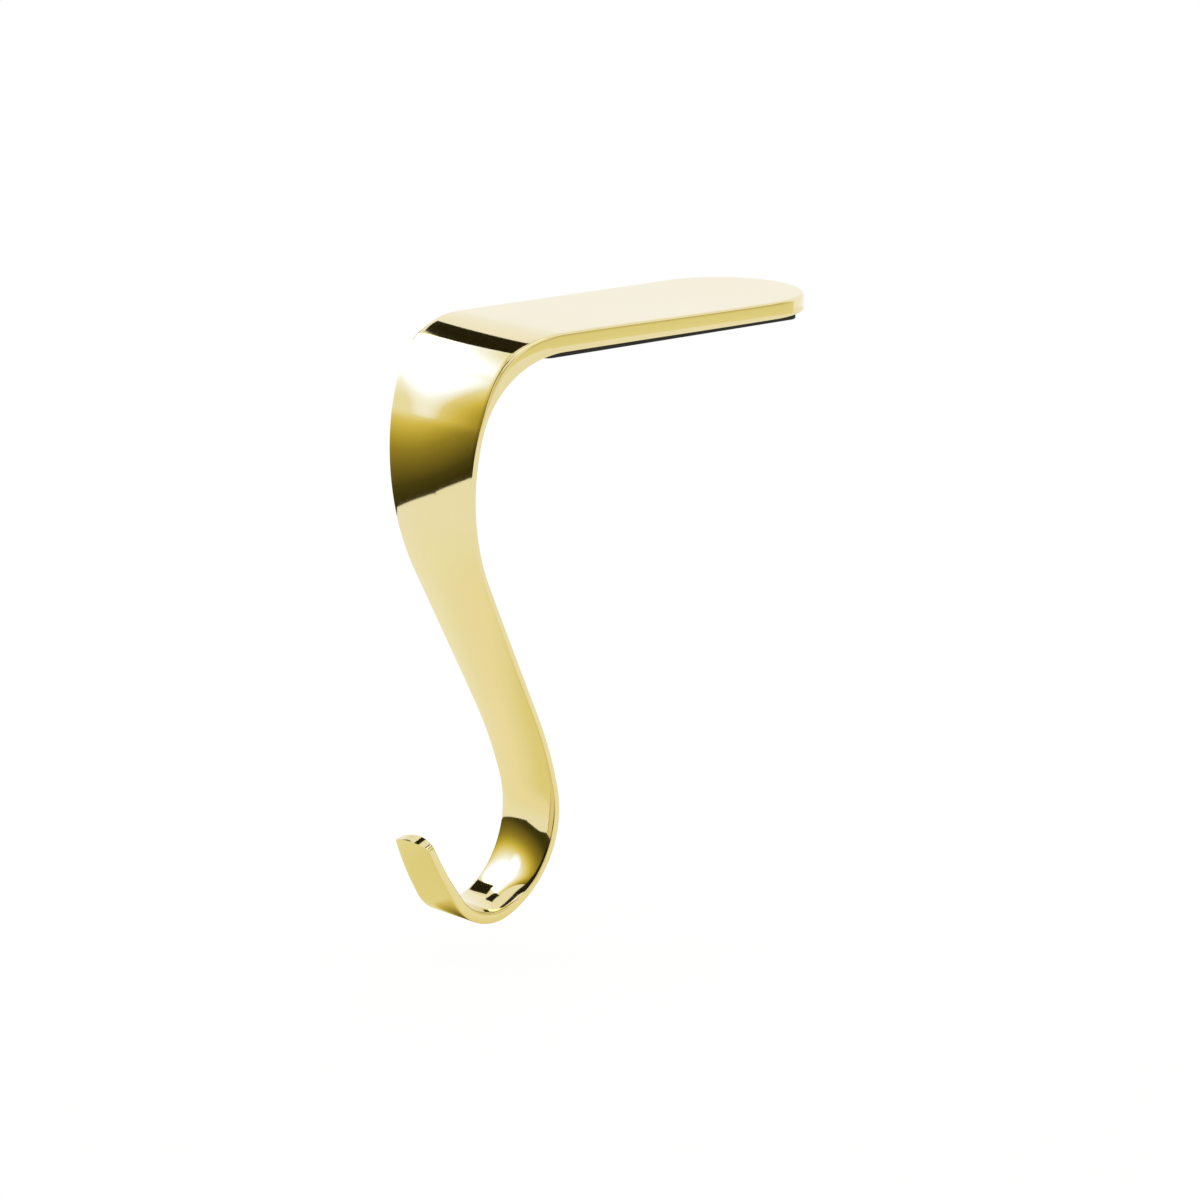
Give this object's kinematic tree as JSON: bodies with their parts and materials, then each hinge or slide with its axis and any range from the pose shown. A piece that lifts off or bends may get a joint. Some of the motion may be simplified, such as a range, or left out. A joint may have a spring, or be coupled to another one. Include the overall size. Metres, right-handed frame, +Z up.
{
  "type": "mantel stocking holder",
  "caption": "Polished cast hanger with a flat padded plate that lies on a mantel, a leaning S-shaped shank and an open hook for a stocking's loop.",
  "frame": {"origin": "middle of the pad's underside, where the holder rests on the mantel", "axes": "+X along the plate toward its round end and the wall, -X out into the room, +Z up, Y across the strip"},
  "size_m": [0.0906, 0.0318, 0.1104],
  "materials": {
    "polished_gold": "mirror-polished pale gold plating",
    "pad_foam": "matt black soft rubber"
  },
  "bodies": {
    "root": {"hanger": "polished_gold", "grip_pad": "pad_foam"}
  },
  "joints": []
}
